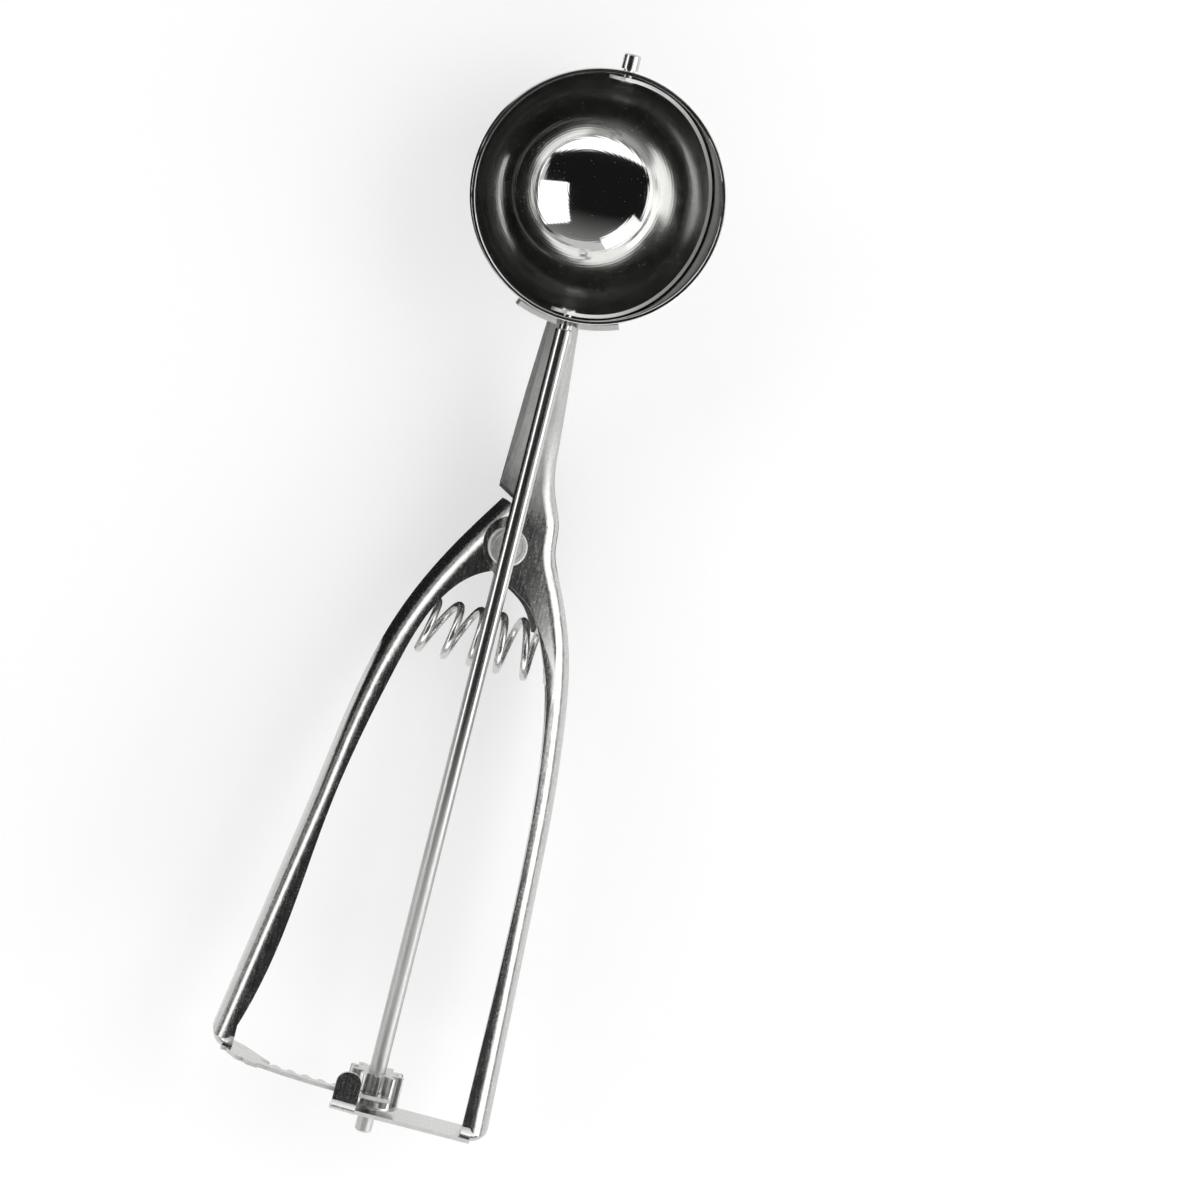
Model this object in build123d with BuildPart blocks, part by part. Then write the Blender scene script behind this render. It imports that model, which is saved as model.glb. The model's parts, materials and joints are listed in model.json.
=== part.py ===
from build123d import *

import os
from math import acos, asin, atan2, cos, degrees, hypot, pi, radians, sin, sqrt, tan

os.makedirs("parts", exist_ok=True)

# Squeeze-handle ice cream scoop in stamped stainless steel. The origin is the centre of the
# bowl's mouth in the plane of its rim, +Z points out of the mouth and +Y runs along the shaft
# from the handles to the bowl. All lengths are in millimetres.

# Bowl: a drawn half sphere with a short straight collar above the shaft axis
BOWL_RADIUS = 24.3
BOWL_WALL = 0.8
COLLAR_HEIGHT = 3.4
RIM_ROUND = 0.2

# Shaft, and the pin opposite it, with thinner tenons that pass through the bowl wall
SHAFT_RADIUS = 1.7
TENON_RADIUS = 1.1
SHOULDER_GAP = 1.8
PIN_GAP = 0.3
PIN_LENGTH = 3.1
PEEN_RADIUS = 1.9
PEEN_HEIGHT = 0.6
PEEN_ROUND = 0.36
STUB_LENGTH = 4.2
END_CHAMFER = 0.3

# Scraper blade: a band that follows the inside of the bowl on the shaft axis
BLADE_CLEARANCE = 0.3
BLADE_THICKNESS = 0.7
BLADE_WIDTH = 8.4
BLADE_TAB_RADIUS = 2.8
BLADE_TAB_OFFSET = 0.8
BLADE_FLARE = 7.0
BLADE_REST_ANGLE = 25.0

# Sheet of both handles and the running and seating clearances
SHEET = 0.8
RUNNING_FIT = 0.05
SEAT_GAP = 0.02
SIDE_PLAY = 0.1

# Pivot rivet: how far it lies from the bowl centre, and how far the grips' middle plane
# lies behind the shaft there
PIVOT_DISTANCE = 72.7
PIVOT_DROP = 11.4
RIVET_RADIUS = 2.2
RIVET_HEAD_RADIUS = 3.95
RIVET_HEAD_HEIGHT = 1.0
RIVET_TAIL_RADIUS = 3.5
RIVET_CHAMFER = 0.35

# Channel of the grips: full depth at the pivot, tapering to the toes, mostly on its front side.
# Its long edges are rolled, with a larger radius on the grips than at the neck and the heels.
PIVOT_DEPTH = 16.0
TOE_FRONT = 3.6
TOE_BACK = 7.8
MOVING_TOE_BACK = 5.9
PARALLEL_LENGTH = 28.0
NECK_KINK = 13.0
CHANNEL_ROLL = 3.0
GRIP_ROLL = 4.5
MOVING_ROLL = 4.2
ROLL_LIFT = 0.04
ROLL_FADE = 0.6
ROLL_TOP = -4.5
ROLL_LAP = 2.0
HEEL_BEND = 3.6
HEEL_WALL = 4.0
MOVING_WALL_END = 1.3
TOE_SPARE = 10.0
EAR_RADIUS = 5.9
EAR_SHIFT = (0.9, 0.5)
EAR_LAP = 0.3
MOVING_EAR_RADIUS = 5.4
BACK_SETBACK = 1.4
NECK_BOW = 15.0
GRIP_BOW = 60.0

# Neck and the two wings that hug the collar
NECK_DEPTH = 7.0
NECK_GAP = 0.9
NECK_LAP = 1.0
NECK_BACK_EDGE = -2.9
WING_REACH = 9.9
WING_CURVE = 28.0
WING_SHEET = 1.1
WING_ROOT = 1.7
WING_NOTCH = 2.1
WING_NOTCH_DEPTH = 4.8
WING_TOP_GAP = 0.6

# Rack and pinion: ten teeth, pitch radius five, with a half turn over the squeeze
PINION_TEETH = 10
MODULE = 1.0
PRESSURE_ANGLE = 25.0
PINION_ADDENDUM = 0.6
RACK_ADDENDUM = 0.8
TOOTH_CLEARANCE = 0.3
BACKLASH = 0.3
PINION_LENGTH = 6.8
PINION_FLANGE = 0.6
TOOTH_ROOT_LAP = 0.2
PINION_GAP = 0.85
PINION_RISE = 0.6
RACK_RADIUS = 112.3
RACK_BACK = 1.9
RACK_CUTTER = 4.0
RACK_SPARE_TEETH = 3
RACK_END = 3.0
MOVING_HEEL = 34.7
STRIP_CURVE = 190.0
STRIP_BEND = 24.0
STRIP_BACK = 3.4
STRIP_TAPER = 2.1
SWEEP_ANGLE = 180.0
STOP_GAP = 0.3
STOP_LUG_WIDTH = 2.4
STOP_LUG_HEIGHT = 1.2

# Foot of the fixed handle, with its guide tab in front of the rack
FOOT_SLOPE = 3.3
FOOT_HEEL = 24.6
FOOT_NOSE = 4.4
FOOT_BACK = 5.6
GUIDE_LEFT = -8.4
GUIDE_RIGHT = -3.4
GUIDE_GAP = 0.3
GUIDE_HEIGHT = 8.4
GUIDE_ROUND = 2.3
GUIDE_BEND = 2.4

# Return spring between the two channels
SPRING_LEFT_DROP = 18.7
SPRING_RIGHT_DROP = 19.5
SPRING_LEAN = 6.0
SPRING_RADIUS = 5.5
SPRING_END_RADIUS = 4.4
SPRING_WIRE = 1.5
SPRING_TURNS = 7
SPRING_SEAT = 0.45
SPRING_END_PITCH = 3.0
SPRING_START = 0.06
SPRING_SAMPLES = 48

SHAFT_Z = -COLLAR_HEIGHT
BOWL_OUTER = BOWL_RADIUS + BOWL_WALL
PITCH_RADIUS = PINION_TEETH * MODULE / 2
PITCH = pi * MODULE
SQUEEZE_ANGLE = SWEEP_ANGLE * PITCH_RADIUS / RACK_RADIUS
MOVING_DEPTH = PIVOT_DEPTH - 2 * (SHEET + SIDE_PLAY)
REACH = 60.0

# The grips lie in a plane through the rivet that meets the shaft axis at the rack.
TILT = asin(PIVOT_DROP / RACK_RADIUS)
ALONG = Vector(0, cos(TILT), -sin(TILT))
ACROSS = Vector(0, sin(TILT), cos(TILT))
PIVOT = Vector(0, -PIVOT_DISTANCE, SHAFT_Z - PIVOT_DROP)
GRIP = Plane(origin=PIVOT, x_dir=(1, 0, 0), z_dir=ACROSS)
GRIP_SIDE = Plane(origin=PIVOT, x_dir=ALONG, z_dir=(1, 0, 0))
FLAT = Plane(origin=PIVOT, x_dir=(1, 0, 0), z_dir=(0, 0, 1))
SHAFT_FRONT = Plane(origin=(0, PIVOT.Y, SHAFT_Z), x_dir=(1, 0, 0), z_dir=(0, 0, 1))
SHAFT_END = Plane(origin=(0, PIVOT.Y, SHAFT_Z), x_dir=(1, 0, 0), z_dir=(0, -1, 0))


def shaft_plane(y):
    """Plane square to the shaft, with its local X towards the front."""
    return Plane(origin=(0, y, SHAFT_Z), x_dir=(0, 0, 1), z_dir=(0, 1, 0))


def inset(points, distance):
    """Points moved to the left of their direction of travel, mitred at corners."""
    moved = []
    for index, (x, y) in enumerate(points):
        before = points[max(index - 1, 0)]
        after = points[min(index + 1, len(points) - 1)]
        ways = []
        for start, end in ((before, (x, y)), ((x, y), after)):
            length = hypot(end[0] - start[0], end[1] - start[1])
            if length > 0:
                ways.append(((start[1] - end[1]) / length, (end[0] - start[0]) / length))
        normal = (sum(way[0] for way in ways) / len(ways), sum(way[1] for way in ways) / len(ways))
        share = normal[0] ** 2 + normal[1] ** 2
        moved.append((x + distance * normal[0] / share, y + distance * normal[1] / share))
    return moved


def web_at(web, y):
    """Place and slope of a web at one height, read between its points."""
    for (x0, y0), (x1, y1) in zip(web, web[1:]):
        if y1 <= y <= y0:
            return x0 + (x1 - x0) * (y0 - y) / (y0 - y1), (x1 - x0) / (y0 - y1)


def channel_block(web, bend, far, front, back, bows, roll):
    """Solid behind a channel's web, with its long edges rolled."""
    with BuildPart() as block:
        with BuildSketch(FLAT.offset(-REACH)):
            with BuildLine() as loop:
                straight = Vector(*web[-2]) - Vector(*web[-3])
                start = Vector(*web[1]) - Vector(*web[0])
                Spline(*web[:-2], tangents=(start, straight.normalized() * start.length))
                FilletPolyline(web[-3], web[-2], web[-1], radius=bend)
                rolled = loop.wire()
                Polyline(web[-1], (far, web[0][1]), web[0])
            make_face()
        extrude(amount=2 * REACH)
        with BuildSketch(GRIP_SIDE.offset(-REACH)):
            with BuildLine():
                FilletPolyline(*front, radius=bows)
                FilletPolyline(*back, radius=bows)
                Line(front[0], back[0])
                Line(front[-1], back[-1])
            make_face()
        extrude(amount=2 * REACH, mode=Mode.INTERSECT)
        long_edges = []
        for edge in block.edges():
            flat = FLAT.to_local_coords(edge.position_at(0.5))
            runs = abs(edge.tangent_at(0.5).Z) < 0.9
            if runs and rolled.distance_to(Vector(flat.X, flat.Y, 0)) < 0.02:
                long_edges.append(edge)
        fillet(long_edges, radius=roll)
    return block.part


def straight_on(web, low):
    """Web that runs straight on past its heel to a lower level."""
    (x0, y0), (x1, y1) = web[-3], web[-2]
    heel = (x0 + (x1 - x0) * (y0 - low) / (y0 - y1), low)
    return [*web[:-2], heel, (web[-1][0], low)]


# Bowl, bored through its wall on the shaft axis for the two tenons
with BuildPart() as bowl:
    with BuildSketch(Plane.XZ):
        with BuildLine():
            outer = CenterArc((0, SHAFT_Z), BOWL_OUTER, -90, 90)
            inner = CenterArc((0, SHAFT_Z), BOWL_RADIUS, -90, 90)
            Polyline(outer @ 1, (BOWL_OUTER, 0), (BOWL_RADIUS, 0), inner @ 1)
            Line(outer @ 0, inner @ 0)
        make_face()
    revolve(axis=Axis.Z)
    fillet(bowl.faces().sort_by(Axis.Z)[-1].edges(), radius=RIM_ROUND)
    with BuildSketch(shaft_plane(0)):
        Circle(TENON_RADIUS + RUNNING_FIT)
    extrude(amount=BOWL_OUTER + BOWL_WALL, both=True, mode=Mode.SUBTRACT)

# Fixed handle: one stamping with the wings, the neck, the ears, the grip and the foot.
# Points are (right, towards the bowl) from the rivet, down the outer web to the heel.
NECK_TOP = PIVOT_DISTANCE - BOWL_RADIUS
heel_rise = tan(radians(FOOT_SLOPE))
rack_middle = -RACK_RADIUS * cos(TILT)
pinion_middle = rack_middle + PINION_RISE
foot_under = pinion_middle - PINION_LENGTH / 2 - PINION_GAP - SHEET
fixed_web = [
    (3.1, NECK_TOP + NECK_LAP),
    (5.5, 23.0),
    (7.1, 12.8),
    (9.4, 6.4),
    (9.9, 1.6),
    (11.8, -3.3),
    (16.0, -13.2),
    (18.7, -23.4),
    (20.8, -38.4),
    (22.3, -60.0),
    (FOOT_HEEL, foot_under - FOOT_HEEL * heel_rise),
    (-REACH, foot_under + REACH * heel_rise),
]
neck_edge = [
    (-2.5, NECK_TOP + NECK_LAP),
    (-3.1, 22.0),
    (-4.5, 12.4),
    (1.0, 9.2),
]
fixed_edge = [
    (-0.5, -EAR_RADIUS + EAR_SHIFT[1]),
    (2.0, -7.3),
    (7.3, -10.9),
    (10.3, -15.8),
    (13.2, -22.7),
    (16.4, -37.7),
    (18.1, -58.0),
    (18.75, -88.0),
    (18.8, foot_under + HEEL_WALL),
]
half = PIVOT_DEPTH / 2
neck_front = (PIVOT_DROP - SHAFT_RADIUS - NECK_GAP + NECK_TOP * sin(TILT)) / cos(TILT)
neck_back = neck_front - NECK_DEPTH
toe_end = -RACK_RADIUS - TOE_SPARE
grip_low = toe_end - TOE_SPARE


def side_lines(less):
    """Front and back lines of the fixed channel, drawn in by the same amount."""
    front = [(NECK_TOP + NECK_LAP, neck_front), (NECK_KINK, half), (-PARALLEL_LENGTH, half)]
    back = [(NECK_TOP + NECK_LAP, neck_back), (NECK_KINK, -half), (-PARALLEL_LENGTH, -half)]
    front.append((toe_end, TOE_FRONT))
    back.append((toe_end, -TOE_BACK))
    return [(x, y - less) for x, y in front], [(x, y + less) for x, y in back]


outer_front, outer_back = side_lines(0)
inner_front, inner_back = side_lines(SHEET)
fixed_inner_web = inset(fixed_web, -SHEET)
fixed_outer = channel_block(
    fixed_web, HEEL_BEND, -REACH, outer_front, outer_back, [NECK_BOW, GRIP_BOW], CHANNEL_ROLL
)
fixed_cavity = channel_block(
    fixed_inner_web,
    HEEL_BEND - SHEET,
    -REACH,
    inner_front,
    inner_back,
    [NECK_BOW, GRIP_BOW],
    CHANNEL_ROLL - SHEET,
)


# Below the ears the grip is rounder than the neck. Its larger roll fades out towards the ears.
def grip_block(less):
    """Solid of the rounder grip, drawn in by an amount."""
    web = []
    for x, y in inset(fixed_web, -less):
        web.append((x + ROLL_FADE * max(0.0, 1 + y / PARALLEL_LENGTH), y))
    lower = [point for point in web if point[1] < ROLL_TOP + ROLL_LAP]
    front = [(0, half + ROLL_FADE), (-PARALLEL_LENGTH, half), (toe_end, TOE_FRONT)]
    back = [(0, -half - ROLL_FADE), (-PARALLEL_LENGTH, -half), (toe_end, -TOE_BACK)]
    front = [(x, y - less) for x, y in front]
    back = [(x, y + less) for x, y in back]
    roll = GRIP_ROLL - less
    with BuildPart() as grip:
        lower = straight_on(lower, grip_low)
        add(channel_block(lower, 2 * roll, -REACH, front, back, [GRIP_BOW], roll))
        with BuildSketch(FLAT.offset(-REACH)):
            with Locations((0, ROLL_TOP)):
                Rectangle(2 * REACH, 2 * REACH, align=(Align.CENTER, Align.MIN))
        extrude(amount=2 * REACH)
    return grip.part


rack_root = PITCH_RADIUS + PINION_ADDENDUM + TOOTH_CLEARANCE
rack_near = rack_root + RACK_BACK
guide_inner = rack_near + GUIDE_GAP
guide_outer = guide_inner + SHEET
guide_flat = guide_outer - GUIDE_BEND
guide_foot = foot_under - GUIDE_LEFT * heel_rise
foot_sheet = SHEET / cos(radians(FOOT_SLOPE))
foot_start = FOOT_HEEL - HEEL_BEND

with BuildPart() as foot:
    with BuildSketch(FLAT):
        with BuildLine():
            Polyline(
                (foot_start, foot_under - foot_start * heel_rise),
                (GUIDE_LEFT, guide_foot),
                (GUIDE_LEFT, guide_foot + foot_sheet),
                (foot_start, foot_under - foot_start * heel_rise + foot_sheet),
                close=True,
            )
        make_face()
    extrude(amount=REACH, both=True)
    with BuildSketch(SHAFT_END):
        with BuildLine():
            Polyline(
                (FOOT_HEEL, -TOE_BACK),
                (0, -FOOT_BACK),
                (-FOOT_NOSE, 0),
                (GUIDE_LEFT, FOOT_BACK),
                (GUIDE_LEFT, guide_flat),
                (GUIDE_RIGHT, guide_flat),
                (FOOT_HEEL, TOE_FRONT),
                close=True,
            )
        make_face()
    extrude(amount=3 * REACH, mode=Mode.INTERSECT)

# Guide tab, bent up from the foot's front edge along a line that follows the foot's slope
foot_way = Vector(1, -heel_rise, 0).normalized()
bend_from = SHAFT_FRONT.from_local_coords((GUIDE_LEFT, guide_foot, 0))
with BuildPart() as guide:
    with BuildSketch(Plane(origin=bend_from, x_dir=(0, 0, 1), z_dir=-foot_way)):
        with BuildLine():
            under = CenterArc((guide_flat, GUIDE_BEND), GUIDE_BEND, -90, 90)
            over = CenterArc((guide_flat, GUIDE_BEND), GUIDE_BEND - SHEET, -90, 90)
            Line(under @ 0, over @ 0)
            Polyline(under @ 1, (guide_outer, REACH), (guide_inner, REACH), over @ 1)
        make_face()
    extrude(amount=REACH, both=True)
    with BuildSketch(SHAFT_FRONT) as guide_face:
        with BuildLine():
            Polyline(
                (GUIDE_RIGHT, guide_foot - GUIDE_HEIGHT),
                (GUIDE_RIGHT, guide_foot + GUIDE_HEIGHT),
                (GUIDE_LEFT, guide_foot + GUIDE_HEIGHT),
                (GUIDE_LEFT, guide_foot - GUIDE_HEIGHT),
                close=True,
            )
        make_face()
        fillet(guide_face.vertices().group_by(Axis.Y)[-1], radius=GUIDE_ROUND)
    extrude(amount=REACH, mode=Mode.INTERSECT)

with BuildPart() as fixed_inside:
    add(fixed_cavity)
    add(grip_block(SHEET - ROLL_LIFT), mode=Mode.INTERSECT)

with BuildPart() as fixed_handle:
    add(fixed_outer)
    add(grip_block(-ROLL_LIFT), mode=Mode.INTERSECT)
    add(fixed_inside.part, mode=Mode.SUBTRACT)
    with BuildSketch(GRIP):
        with BuildLine():
            edge = Spline(*fixed_edge)
            Polyline(
                edge @ 1,
                (fixed_edge[-1][0], toe_end - TOE_SPARE),
                (REACH, toe_end - TOE_SPARE),
                (REACH, NECK_TOP + NECK_LAP),
                *neck_edge,
                edge @ 0,
            )
        make_face()
        with Locations(EAR_SHIFT):
            Circle(EAR_RADIUS)
    extrude(amount=REACH, both=True, mode=Mode.INTERSECT)
    # The back wall of the neck is narrower than the front one.
    with BuildSketch(GRIP_SIDE.offset(NECK_BACK_EDGE)):
        with BuildLine():
            Polyline(
                (neck_edge[-1][1], -PIVOT_DEPTH),
                (neck_edge[-1][1], 0),
                (NECK_KINK, 0),
                (NECK_TOP + NECK_LAP, neck_front - NECK_DEPTH / 2),
                (NECK_TOP + NECK_LAP, -PIVOT_DEPTH),
                close=True,
            )
        make_face()
    extrude(amount=-REACH, mode=Mode.SUBTRACT)
    # The back wall of the grip is narrower too.
    with BuildSketch(GRIP):
        with BuildLine():
            behind = Spline(*[(x + BACK_SETBACK, y) for x, y in fixed_edge[3:]])
            Polyline(
                behind @ 0,
                (-REACH, fixed_edge[3][1]),
                (-REACH, toe_end),
                (fixed_edge[-1][0] + BACK_SETBACK, toe_end),
                behind @ 1,
            )
        make_face()
    extrude(amount=-REACH, mode=Mode.SUBTRACT)
    with Locations((0, 0, SHAFT_Z)):
        Sphere(BOWL_OUTER + SEAT_GAP, mode=Mode.SUBTRACT)
    # Wings bent forward from the neck's front wall
    wing_base = SHAFT_Z - SHAFT_RADIUS - WING_ROOT
    with BuildSketch(Plane.XY.offset(wing_base)):
        with BuildLine():
            spread = degrees(asin(WING_REACH / WING_CURVE))
            middle = (0, WING_CURVE - BOWL_OUTER - SEAT_GAP)
            near = CenterArc(middle, WING_CURVE, -90 - spread, 2 * spread)
            away = CenterArc(middle, WING_CURVE + WING_SHEET, -90 - spread, 2 * spread)
            Line(near @ 0, away @ 0)
            Line(near @ 1, away @ 1)
        make_face()
    extrude(amount=-WING_TOP_GAP - wing_base)
    # Notch between the wings for the shaft's tenon
    with BuildSketch(Plane.XY.offset(SHAFT_Z - WING_NOTCH)):
        with Locations((0, -BOWL_OUTER)):
            Rectangle(2 * WING_NOTCH, WING_NOTCH_DEPTH)
    extrude(amount=WING_NOTCH + COLLAR_HEIGHT, mode=Mode.SUBTRACT)
    # Foot with its guide tab
    add(foot.part)
    add(guide.part)
    with BuildSketch(GRIP):
        Circle(RIVET_RADIUS + RUNNING_FIT)
    extrude(amount=PIVOT_DEPTH, both=True, mode=Mode.SUBTRACT)
    with BuildSketch(shaft_plane(-PIVOT_DISTANCE - RACK_RADIUS)):
        Circle(SHAFT_RADIUS + RUNNING_FIT)
    extrude(amount=-REACH, mode=Mode.SUBTRACT)

# Moving handle: a second channel inside the ears, whose toe is bent into the rack strip
floor_lean = asin(STRIP_BEND / STRIP_CURVE)


def strip_at(x):
    """Middle of the rack strip: an arc near the pinion, straight towards the heel."""
    bend_x = max(x, -STRIP_BEND)
    fall = (bend_x - x) * tan(floor_lean)
    return (x, rack_middle + STRIP_CURVE - sqrt(STRIP_CURVE**2 - bend_x**2) + fall)


def floor_under(x):
    """Underside of the moving handle's toe."""
    rise = (-STRIP_BEND - x) * tan(floor_lean) - SHEET / 2 / cos(floor_lean)
    return (x, strip_at(-STRIP_BEND)[1] + rise)


strip_start = HEEL_BEND - MOVING_HEEL
wall_end = strip_start + MOVING_WALL_END
moving_web = [
    (3.6, 17.4),
    (-10.4, -4.0),
    (-17.5, -19.0),
    (-20.6, -29.3),
    (-23.1, -41.3),
    (-26.1, -60.0),
    floor_under(-MOVING_HEEL),
    floor_under(FOOT_HEEL),
]
moving_top = [
    (-REACH, 11.5),
    (-5.7, 11.5),
    (2.0, 6.7),
]
moving_edge = [
    (-1.0, EAR_LAP - MOVING_EAR_RADIUS),
    (-6.8, -8.5),
    (-12.9, -18.2),
    (-15.9, -28.1),
    (-22.1, -58.2),
    (-25.7, -88.5),
    (wall_end, strip_at(strip_start)[1] + HEEL_WALL),
]
moving_half = MOVING_DEPTH / 2
moving_toe = TOE_FRONT - SIDE_PLAY


def moving_lines(less):
    """Front and back lines of the moving channel, drawn in by the same amount."""
    front = [(REACH, moving_half), (-PARALLEL_LENGTH, moving_half), (toe_end, moving_toe)]
    back = [(REACH, -moving_half), (-PARALLEL_LENGTH, -moving_half), (toe_end, -MOVING_TOE_BACK)]
    return [(x, y - less) for x, y in front], [(x, y + less) for x, y in back]


moving_inner_web = inset(moving_web, SHEET)
moving_outer = channel_block(moving_web, HEEL_BEND, REACH, *moving_lines(0), [GRIP_BOW], CHANNEL_ROLL)
moving_cavity = channel_block(
    moving_inner_web,
    HEEL_BEND - SHEET,
    REACH,
    *moving_lines(SHEET),
    [GRIP_BOW],
    CHANNEL_ROLL - SHEET,
)


def moving_grip(less):
    """Solid of the rounder moving grip, drawn in by an amount."""
    web = straight_on(inset(moving_web, less), grip_low)
    roll = MOVING_ROLL - less
    return channel_block(web, 2 * roll, REACH, *moving_lines(less), [GRIP_BOW], roll)


travel = RACK_RADIUS * radians(SQUEEZE_ANGLE)
lug_right = GUIDE_LEFT - STOP_GAP - travel
rack_tip = PITCH_RADIUS - RACK_ADDENDUM
with BuildPart() as rack:
    with BuildSketch(FLAT):
        with BuildLine():
            straight = Line(strip_at(strip_start - SHEET), strip_at(-STRIP_BEND))
            TangentArc(straight @ 1, strip_at(RACK_END), tangent=straight % 1)
        trace(line_width=SHEET)
    extrude(amount=REACH, both=True)
    with BuildSketch(SHAFT_END):
        with BuildLine():
            Polyline(
                (-MOVING_HEEL, -MOVING_TOE_BACK),
                (strip_start, -MOVING_TOE_BACK),
                (lug_right - STOP_LUG_WIDTH, -STRIP_BACK),
                (lug_right + STRIP_BACK, rack_tip),
                (RACK_END, rack_tip),
                (RACK_END, rack_near),
                (lug_right, rack_near),
                (lug_right, rack_near + STOP_LUG_HEIGHT),
                (lug_right - STOP_LUG_WIDTH, rack_near + STOP_LUG_HEIGHT),
                (lug_right - STOP_LUG_WIDTH - SHEET, rack_near),
                (strip_start + STRIP_TAPER, rack_near),
                (strip_start, moving_toe),
                (-MOVING_HEEL, moving_toe),
                close=True,
            )
        make_face()
    extrude(amount=3 * REACH, mode=Mode.INTERSECT)
    gap_half = PITCH / 4 + BACKLASH / 4
    flank = tan(radians(PRESSURE_ANGLE))
    for gap in range(-1, round(travel / PITCH) + RACK_SPARE_TEETH):
        angle = gap * PITCH / RACK_RADIUS
        away = ALONG * -cos(angle) + Vector(-sin(angle), 0, 0)
        side = Vector(cos(angle), 0, 0) + ALONG * -sin(angle)
        cutter = PIVOT + away * (RACK_RADIUS - RACK_CUTTER / 2)
        with BuildSketch(Plane(origin=cutter, x_dir=side, z_dir=away)):
            with BuildLine():
                root_half = gap_half - (rack_root - PITCH_RADIUS) * flank
                tip_half = gap_half + 2 * RACK_ADDENDUM * flank
                Polyline(
                    (-root_half, rack_root),
                    (root_half, rack_root),
                    (tip_half, PITCH_RADIUS - 2 * RACK_ADDENDUM),
                    (-tip_half, PITCH_RADIUS - 2 * RACK_ADDENDUM),
                    close=True,
                )
            make_face()
        extrude(amount=RACK_CUTTER, mode=Mode.SUBTRACT)

with BuildPart() as moving_inside:
    add(moving_cavity)
    add(moving_grip(SHEET - ROLL_LIFT), mode=Mode.INTERSECT)

with BuildPart() as moving_handle:
    add(moving_outer)
    add(moving_grip(-ROLL_LIFT), mode=Mode.INTERSECT)
    add(moving_inside.part, mode=Mode.SUBTRACT)
    with BuildSketch(GRIP):
        with BuildLine():
            edge = Spline(*moving_edge)
            Polyline(
                edge @ 1,
                (wall_end, toe_end),
                (-REACH, toe_end),
                *moving_top,
                edge @ 0,
            )
        make_face()
        Circle(MOVING_EAR_RADIUS)
    extrude(amount=REACH, both=True, mode=Mode.INTERSECT)
    add(rack.part)
    with BuildSketch(GRIP):
        Circle(RIVET_RADIUS + RUNNING_FIT)
    extrude(amount=PIVOT_DEPTH, both=True, mode=Mode.SUBTRACT)

# Pivot rivet: the head in front, the closed tail behind
with BuildPart() as pivot_rivet:
    with BuildSketch(GRIP):
        Circle(RIVET_RADIUS)
    extrude(amount=half, both=True)
    with BuildSketch(GRIP.offset(half)):
        Circle(RIVET_HEAD_RADIUS)
    extrude(amount=RIVET_HEAD_HEIGHT)
    with BuildSketch(GRIP.offset(-half)):
        Circle(RIVET_TAIL_RADIUS)
    extrude(amount=-RIVET_HEAD_HEIGHT)
    rims = pivot_rivet.edges().filter_by(GeomType.CIRCLE).sort_by(Axis(PIVOT, ACROSS))
    chamfer([rims[0], rims[-1]], length=RIVET_CHAMFER)

# Shaft with its tenon through the bowl wall and the blade, peened inside the bowl
blade_outer = BOWL_RADIUS - BLADE_CLEARANCE
blade_inner = blade_outer - BLADE_THICKNESS
peen_seat = sqrt(blade_inner**2 - PEEN_RADIUS**2)
foot_y = -PIVOT_DISTANCE + foot_under
stub_end = foot_y - STUB_LENGTH
with BuildPart() as shaft:
    with BuildSketch(shaft_plane(stub_end)):
        Circle(SHAFT_RADIUS)
    extrude(amount=-BOWL_OUTER - SHOULDER_GAP - stub_end)
    chamfer(shaft.edges().sort_by(Axis.Y)[0], length=END_CHAMFER)
    with BuildSketch(shaft_plane(-BOWL_OUTER - SHOULDER_GAP)):
        Circle(TENON_RADIUS)
    extrude(amount=BOWL_OUTER + SHOULDER_GAP - peen_seat)
    with BuildSketch(shaft_plane(-peen_seat)):
        Circle(PEEN_RADIUS)
    extrude(amount=PEEN_HEIGHT)
    fillet(shaft.edges().sort_by(Axis.Y)[-1], radius=PEEN_ROUND)

# Pin at the far side of the bowl, on the same axis
with BuildPart() as top_pin:
    with BuildSketch(shaft_plane(BOWL_OUTER + PIN_GAP)):
        Circle(SHAFT_RADIUS)
    extrude(amount=PIN_LENGTH)
    chamfer(top_pin.edges().sort_by(Axis.Y)[-1], length=END_CHAMFER)
    with BuildSketch(shaft_plane(BOWL_OUTER + PIN_GAP)):
        Circle(TENON_RADIUS)
    extrude(amount=-(BOWL_OUTER + PIN_GAP - peen_seat))
    with BuildSketch(shaft_plane(peen_seat)):
        Circle(PEEN_RADIUS)
    extrude(amount=-PEEN_HEIGHT)
    fillet(top_pin.edges().sort_by(Axis.Y)[0], radius=PEEN_ROUND)

# Scraper blade: a band of a sphere that narrows to a rounded tab at each pivot
lean = radians(BLADE_REST_ANGLE)
blade_plane = Plane(origin=(0, 0, SHAFT_Z), x_dir=(cos(lean), 0, -sin(lean)), z_dir=(0, 1, 0))
with BuildPart() as scraper_blade:
    with Locations((0, 0, SHAFT_Z)):
        Sphere(blade_outer)
        Sphere(blade_inner, mode=Mode.SUBTRACT)
    with BuildSketch(blade_plane):
        with BuildLine():
            Polyline(
                (-BLADE_TAB_OFFSET, BLADE_TAB_RADIUS),
                (BLADE_FLARE, BLADE_WIDTH / 2),
                (BOWL_OUTER, BLADE_WIDTH / 2),
                (BOWL_OUTER, -BLADE_WIDTH / 2),
                (BLADE_FLARE, -BLADE_WIDTH / 2),
                (-BLADE_TAB_OFFSET, -BLADE_TAB_RADIUS),
                close=True,
            )
        make_face()
        with Locations((-BLADE_TAB_OFFSET, 0)):
            Circle(BLADE_TAB_RADIUS)
    extrude(amount=BOWL_OUTER, both=True, mode=Mode.INTERSECT)
    with BuildSketch(blade_plane):
        Circle(TENON_RADIUS)
    extrude(amount=BOWL_OUTER, both=True, mode=Mode.SUBTRACT)

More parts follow.
